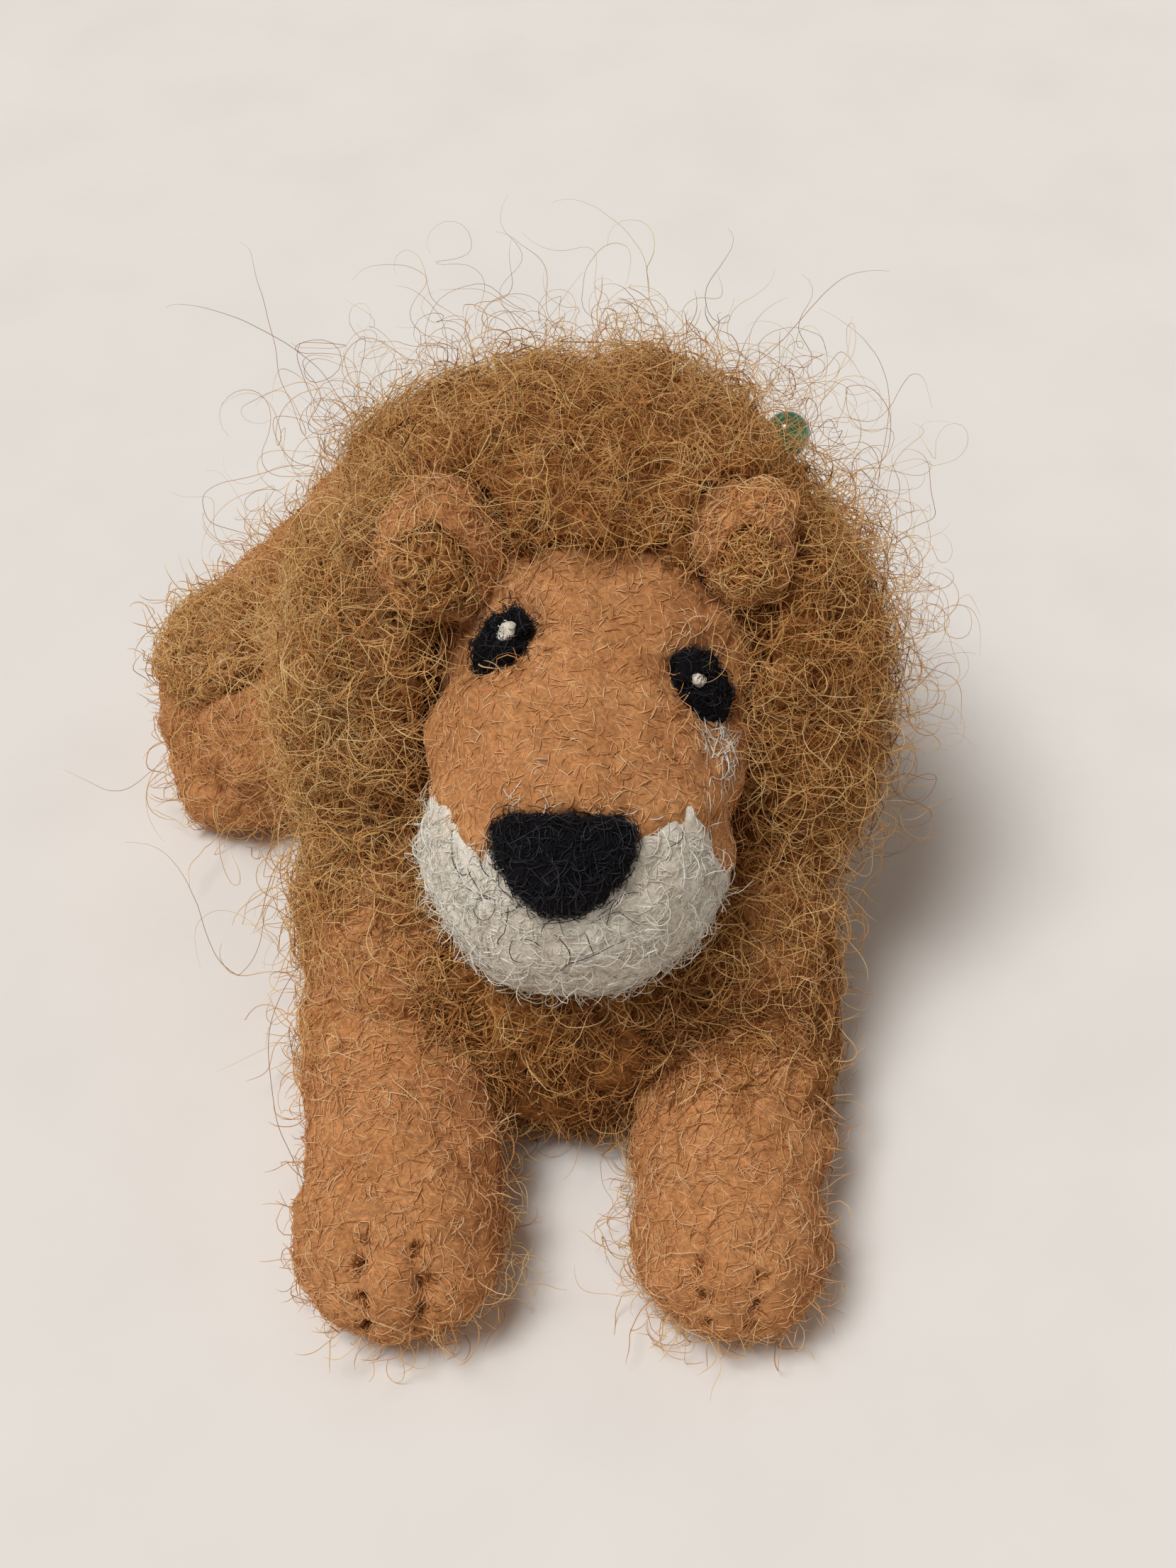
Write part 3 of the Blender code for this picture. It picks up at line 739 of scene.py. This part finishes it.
def shoulders(points, normals):
    """Where the mane's wool strays over the body: round the mane and down on to the front legs."""
    away = (points[:, 1] - LEG_MIDDLE_Y) / MM
    return ramp(away, -10, 2) * ramp(away, 38, 26) * (normals[:, 2] > -0.5)


def inner_legs(points, normals):
    """The sides of the front legs that face the chest."""
    inner = ramp(np.abs(points[:, 0] - FACE_MIDDLE[0]) / MM, 13, 8)
    return shoulders(points, normals) * (0.12 + inner)


def face(points, normals):
    """The tan front of the head."""
    in_front = points[:, 1] < HEAD_MIDDLE[1] + 3 * MM
    return (0.03 + in_front * 1.0) * (white_margin(points) < 0.4)


def white_face(points, normals):
    """The white front of the muzzle."""
    return (white_margin(points) > 0.2) * (points[:, 1] < MUZZLE_MIDDLE[1] + 5 * MM) * 1.0


def under_nose(points, normals):
    """The white wool close round the nose."""
    return near("nose", 6.6)(points, normals) * (white_margin(points) > 1.0)


def under_left_eye(points, normals):
    """A pale patch on the cheek."""
    return within(points, centre_of("eye_left") + np.array((1.2, -3.6, -3.4)) * MM, 2.3)


def right_side(points, normals):
    """The lion's right side of the mane and its back, where the wool is paler."""
    behind = points[:, 1] > centre_of("mane_nape")[1]
    return ramp(points[:, 0] / MM, -2, -14) + 0.35 * behind


def sides_of_head(points, normals):
    """The mane, mostly its upper two thirds."""
    return 0.25 + (points[:, 2] > 16 * MM) * 1.0


def top_of_head(points, normals):
    """The mane, mostly its top."""
    return np.maximum(ramp(points[:, 2] / MM, 20, 34), 0.1) * (normals[:, 2] > -0.3)


def toe_lines(points, normals):
    """The needled lines between the toes."""
    return np.maximum(-toe_dents(points) - 0.35, 0.0)


def left_edge(points, normals):
    """The lion's left side of the mane."""
    return ramp(points[:, 0] / MM, 8, 16) * (normals[:, 2] > -0.4)


def round_the_tail(points, normals):
    """Where the tail comes out of the body."""
    return within(points, TAIL_ROOT, 6.0)


def low_on_the_legs(points, normals):
    """The front legs within a few mm of the ground, on every side."""
    return (points[:, 2] < 6 * MM) * (points[:, 1] < LEG_MIDDLE_Y + 6 * MM) * 1.0


def between_paws(points, normals):
    """The inner sides of the front paws and the foot of the ruff, near the ground."""
    inner = np.abs(points[:, 0] - FACE_MIDDLE[0]) < 11 * MM
    return inner * (points[:, 2] < 7 * MM) * (points[:, 1] < LEG_MIDDLE_Y) * 1.0


def foot_of_ruff(points, normals):
    """The front of the ruff near the ground."""
    return (points[:, 2] < 9 * MM) * (normals[:, 1] < -0.2) * 1.0


several("body_nap", 5, lambda: [
    matted(body_felt, 6200, (1.0, 2.8), 3, (0.02, 0.28), 0.5, rng, off_the_floor),
    matted(body_felt, 700, (2.0, 5.0), 5, (0.2, 0.9), 0.6, rng, off_the_floor),
], "tan_wool", 0.044)
# Painted shade: the darkest brown fibres, laid along the toe lines, stand for the shade in the needled grooves.
several("toe_groove_shade", 1, lambda: [
    matted(body_felt, 260, (0.5, 1.3), 3, (0.05, 0.2), 0.4, rng, toe_lines),
], "brown_wool", 0.06, mix=DARKEST)
several("shoulder_wool", 1, lambda: [
    matted(body_felt, 1500, (3, 9), 7, (0.3, 1.8), 0.5, rng, shoulders),
    frizz(body_felt, 700, (4, 12), 14, (0.7, 2.2), 0.9, shoulders),
], "brown_wool", mix=BLOND_MIX)
several("inner_leg_wool", 1, lambda: [
    matted(body_felt, 2700, (3, 9), 7, (0.2, 1.6), 0.5, rng, inner_legs),
], "brown_wool")
# Partly real brown wool from the mane and partly painted shade: the lion's left front leg, away from the light
# and under the mane, gets darker brown fibres.
several("left_leg_wool_and_shade", 1, lambda: [
    matted(body_felt, 1500, (3, 8), 7, (0.1, 1.0), 0.5, rng, near("front_leg_left", 9.5)),
], "brown_wool", 0.046, mix=DARK_MIX)
several("head_nap", 1, lambda: [
    matted(head_felt, 6600, (0.9, 2.4), 3, (0.0, 0.2), 0.5, rng, face),
    matted(head_felt, 40, (2.0, 4.0), 6, (0.7, 1.4), 0.5, rng, near("eye_right", 4.5)),
    matted(head_felt, 40, (2.0, 4.0), 6, (0.7, 1.4), 0.5, rng, near("eye_left", 4.8)),
], "tan_wool", 0.05)
several("muzzle_nap", 1, lambda: [
    matted(muzzle_felt, 4200, (0.9, 2.4), 3, (0.03, 0.25), 0.5, rng, white_face),
    matted(muzzle_felt, 350, (2.0, 4.5), 8, (0.4, 1.2), 0.8, rng, white_face),
    matted(head_felt, 70, (1.0, 2.4), 5, (0.2, 0.6), 0.6, rng, near("nose", 6.2)),
    matted(head_felt, 90, (1.2, 3.2), 5, (0.0, 0.3), 0.5, rng, under_left_eye),
], "white_wool", 0.045)
several("nose_nap", 1, lambda: [
    matted(nose_felt, 1100, (0.8, 2.6), 5, (0.1, 0.5), 0.7, rng),
    matted(nose_felt, 160, (2.0, 5.0), 8, (0.4, 1.0), 0.5, rng),
    matted(muzzle_felt, 60, (2.0, 6.0), 9, (0.2, 0.8), 0.45, rng, under_nose),
], "black_wool", 0.036)
for side in SIDES:
    several(f"eye_{side}_nap", 1, lambda: [
        matted(eyes[side], 320, (0.8, 2.2), 5, (0.1, 0.6), 0.8, rng),
        matted(eyes[side], 16, (2.0, 3.6), 8, (0.9, 1.1), 0.5, rng),
        matted(head_felt, 30, (1.0, 2.0), 5, (0.1, 0.5), 0.8, rng, near("eye_" + side, 3.0)),
        matted(glints[side], 7, (0.8, 1.6), 5, (0.15, 0.3), 0.5, rng),
    ], "black_wool", 0.036)
    several(f"eye_glint_{side}_nap", 1, lambda: [
        matted(glints[side], 26, (0.5, 1.1), 4, (0.05, 0.2), 1.5, rng),
    ], "white_wool", 0.036)
    several(f"ear_{side}_nap", 1, lambda: [
        matted(ears[side], 1100, (1.0, 2.6), 5, (0.05, 0.5), 0.6, rng),
        frizz(ears[side], 120, (1.5, 4.0), 10, (0.6, 2.0), 0.9),
    ], "tan_wool", 0.045)
    several(f"ear_{side}_cup_wool", 1, lambda: [
        matted(cups[side], 420, (1.5, 4.0), 7, (0.3, 1.4), 0.7, rng),
        matted(ears[side], 170, (2.5, 6.0), 8, (0.2, 1.0), 0.6, rng),
    ], "brown_wool", 0.042, mix=LIGHT_MIX)
several("mane_wool", 5, lambda: [
    matted(mane_mat, 2500, (4, 10), 8, (0.2, 3.2), 0.55, rng, None, out_from_face),
], "brown_wool", 0.05)
several("mane_side_wool", 3, lambda: [
    matted(mane_mat, 1700, (4, 11), 8, (1.0, 3.8), 0.5, rng, right_side, out_from_face),
    frizz(mane_mat, 420, (5, 14), 16, (0.6, 2.0), 1.0, right_side, 0.5, 0.1),
], "brown_wool", 0.045, mix=BLOND_MIX)
several("chest_wool", 2, lambda: [
    matted(mane_mat, 2700, (4, 11), 8, (0.2, 2.2), 0.5, rng, near("chest_ruff", 15.0), out_from_face),
], "brown_wool", 0.05, mix=DARK_MIX)
several("left_fringe", 1, lambda: [
    frizz(mane_mat, 1500, (5, 13), 16, (0.6, 2.0), 0.9, left_edge, 0.5, 0.1),
], "brown_wool", 0.036, mix=BLOND_MIX)
several("mane_frizz", 4, lambda: [
    frizz(mane_mat, 1300, (5, 14), 16, (0.6, 1.8), 0.9, sides_of_head, 0.5, 0.06),
], "brown_wool", 0.036, mix=LIGHT_MIX)
several("mane_halo", 2, lambda: [
    frizz(mane_mat, 600, (16, 36), 42, (0.8, 2.2), 1.3, top_of_head, 0.3, 0.1),
], "brown_wool", 0.025, mix=LIGHT_MIX)
several("mane_loops", 2, lambda: [
    frizz(mane_mat, 480, (10, 26), 36, (0.6, 1.8), 1.2, sides_of_head, 0.35, 0.1),
], "brown_wool", 0.028, mix=LIGHT_MIX)
several("mane_strays", 1, lambda: [
    clear_of(frizz(mane_mat, 40, (30, 56), 90, (3.0, 9.0), 1.6, sides_of_head, 0.3),
             IN_FRONT_OF_FACE, FACE_CLEARANCE),
], "brown_wool", 0.028)
several("ground_wisps", 1, lambda: [
    frizz(body_felt, 300, (3, 9), 18, (0.6, 1.8), 1.0, between_paws),
    frizz(body_felt, 420, (3, 8), 16, (0.6, 1.8), 1.0, low_on_the_legs),
    frizz(mane_mat, 220, (4, 11), 22, (0.6, 1.8), 0.8, foot_of_ruff),
], "brown_wool", 0.034, mix=BLOND_MIX)
several("body_frizz", 2, lambda: [
    frizz(body_felt, 2600, (1.5, 5), 6, (0.7, 2.0), 0.8, off_the_floor),
], "tan_wool", 0.036, mix=LIGHT_MIX)
several("head_frizz", 1, lambda: [
    frizz(head_felt, 500, (1.0, 2.6), 7, (0.5, 1.4), 0.7, face),
], "tan_wool", 0.034)
several("muzzle_frizz", 1, lambda: [
    frizz(muzzle_felt, 420, (1.2, 3.4), 9, (0.4, 1.2), 0.7, white_face),
], "white_wool", 0.034)
several("tail_root_wool", 1, lambda: [
    matted(body_felt, 620, (2.0, 5.0), 6, (0.3, 1.8), 0.6, rng, round_the_tail),
    frizz(body_felt, 260, (2, 5), 9, (0.6, 1.8), 0.9, round_the_tail),
], "tan_wool", 0.046)
several("tail_nap", 1, lambda: [
    matted(tail_felt, 1400, (1.0, 2.8), 5, (0.05, 0.5), 0.6, rng),
    frizz(tail_felt, 300, (2, 5), 11, (0.7, 2.0), 0.8),
], "tan_wool", 0.05, body="tail_body")
several("tail_tuft_wool", 1, lambda: [
    matted(tuft_mat, 1300, (2.5, 7), 7, (0.2, 1.6), 0.6, rng),
    frizz(tuft_mat, 450, (2.5, 9), 12, (0.8, 2.5), 1.0),
], "brown_wool", 0.045, body="tail_body", mix=BLOND_MIX)


# ---------------------------------------------------------------- pin

def glass(name):
    """Green glass, deeper at the top, where less light comes through it, with a pale streak."""
    mat, tree, shader = shader_of(name)
    place = tree.nodes.new("ShaderNodeTexCoord")
    streak = add_node(tree, "ShaderNodeTexNoise", Scale=420.0, Detail=2.0)
    parts = tree.nodes.new("ShaderNodeSeparateXYZ")
    depth = add_node(tree, "ShaderNodeMapRange", From_Min=-1.6 * MM, From_Max=1.6 * MM, To_Min=0.3, To_Max=-0.2)
    thick = tree.nodes.new("ShaderNodeMath")     # adds its two inputs
    tint = ramp_node(tree, [(0.3, (0.0, 0.12, 0.065)), (0.55, (0.0, 0.30, 0.17)), (0.75, (0.22, 0.42, 0.24))])
    link = tree.links.new
    link(place.outputs["Object"], streak.inputs["Vector"])
    link(place.outputs["Object"], parts.inputs["Vector"])
    link(parts.outputs["Z"], depth.inputs["Value"])
    link(streak.outputs["Fac"], thick.inputs[0])
    link(depth.outputs["Result"], thick.inputs[1])
    link(thick.outputs["Value"], tint.inputs["Fac"])
    link(tint.outputs["Color"], shader.inputs["Base Color"])
    shader.inputs["Roughness"].default_value = 0.06
    shader.inputs["Coat Weight"].default_value = 1.0
    return mat


def steel(name):
    """Drawn steel wire."""
    mat, tree, shader = shader_of(name)
    place = tree.nodes.new("ShaderNodeTexCoord")
    drawn = add_node(tree, "ShaderNodeTexNoise", Scale=900.0, Detail=3.0)
    tint = ramp_node(tree, [(0.3, (0.50, 0.50, 0.52)), (0.7, (0.66, 0.66, 0.68))])
    tree.links.new(place.outputs["Object"], drawn.inputs["Vector"])
    tree.links.new(drawn.outputs["Fac"], tint.inputs["Fac"])
    tree.links.new(tint.outputs["Color"], shader.inputs["Base Color"])
    shader.inputs["Metallic"].default_value = 1.0
    shader.inputs["Roughness"].default_value = 0.3
    return mat


def ball(name, node, mat, body):
    """A smooth ball in place of a ball of the CAD."""
    shape = bmesh.new()
    bmesh.ops.create_uvsphere(shape, u_segments=48, v_segments=24, radius=half_size_of(node).mean())
    mesh = bpy.data.meshes.new(name)
    shape.to_mesh(mesh)
    shape.free()
    mesh.materials.append(mat)
    mesh.shade_smooth()
    thing = add_object(name, mesh)
    thing.location = centre_of(node)
    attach(thing, body)
    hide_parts(node)


def clad(node, mat):
    """Gives a CAD solid that stays in the scene its material."""
    for place in frame["nodes"][node].material_slots:
        place.material = mat


ball("pin_ball", "pin_head", glass("green_glass"), "pin")
clad("pin_shaft", steel("pin_steel"))
for node in ("body_core", "head_core", "neck"):
    clad(node, FELTS["core_wool"])


# ---------------------------------------------------------------- floor, light and camera

def paper():
    """A plain pale sheet."""
    mat, tree, shader = shader_of("paper")
    place = tree.nodes.new("ShaderNodeTexCoord")
    fleck = add_node(tree, "ShaderNodeTexNoise", Scale=60.0, Detail=4.0)
    tint = ramp_node(tree, [(0.3, (0.80, 0.765, 0.73)), (0.7, (0.84, 0.805, 0.77))])
    tree.links.new(place.outputs["Object"], fleck.inputs["Vector"])
    tree.links.new(fleck.outputs["Fac"], tint.inputs["Fac"])
    tree.links.new(tint.outputs["Color"], shader.inputs["Base Color"])
    shader.inputs["Roughness"].default_value = 0.8
    return mat


FLOOR_HALF = 1.5
floor_mesh = bpy.data.meshes.new("floor")
floor_mesh.from_pydata(
    [(x * FLOOR_HALF, y * FLOOR_HALF, 0) for x, y in ((-1, -1), (1, -1), (1, 1), (-1, 1))], [], [(0, 1, 2, 3)],
)
floor_mesh.materials.append(paper())
add_object("floor", floor_mesh)

# Soft daylight from the upper left and a little from the front, and the warm light of the room.
KEY_FROM = Vector((-0.36, -0.16, 0.95))
KEY_SPREAD = 0.42      # its width in the sky, in radians
KEY_POWER = 2.36
KEY_COLOUR = (0.985, 1.0, 0.995)
ROOM_COLOUR = (1.0, 0.90, 0.80, 1.0)
ROOM_STRENGTH = 0.26

key_data = bpy.data.lights.new("key", "SUN")
key_data.angle = KEY_SPREAD
key_data.energy = KEY_POWER
key_data.color = KEY_COLOUR
add_object("key", key_data).rotation_euler = KEY_FROM.to_track_quat("Z", "Y").to_euler()
world = bpy.data.worlds.new("room")
world.use_nodes = True
background = world.node_tree.nodes["Background"]
background.inputs["Color"].default_value = ROOM_COLOUR
background.inputs["Strength"].default_value = ROOM_STRENGTH
bpy.context.scene.world = world
bpy.context.scene.view_settings.view_transform = "Standard"

CAMERA_FROM_PIN = Vector((-17.2, -151.3, 128.0)) * MM
CAMERA_TILT = math.radians(49.0)     # down from level
SENSOR_HEIGHT = 24.0
FOCAL_LENGTH = 34.7197
camera_data = bpy.data.cameras.new("camera")
camera_data.sensor_fit = "VERTICAL"
camera_data.sensor_height = SENSOR_HEIGHT
camera_data.lens = FOCAL_LENGTH
camera_data.clip_start = 0.01
camera = add_object("camera", camera_data)
camera.location = Vector(centre_of("pin_head")) + CAMERA_FROM_PIN
camera.rotation_euler = (math.pi / 2 - CAMERA_TILT, 0.0, 0.0)
bpy.context.scene.camera = camera
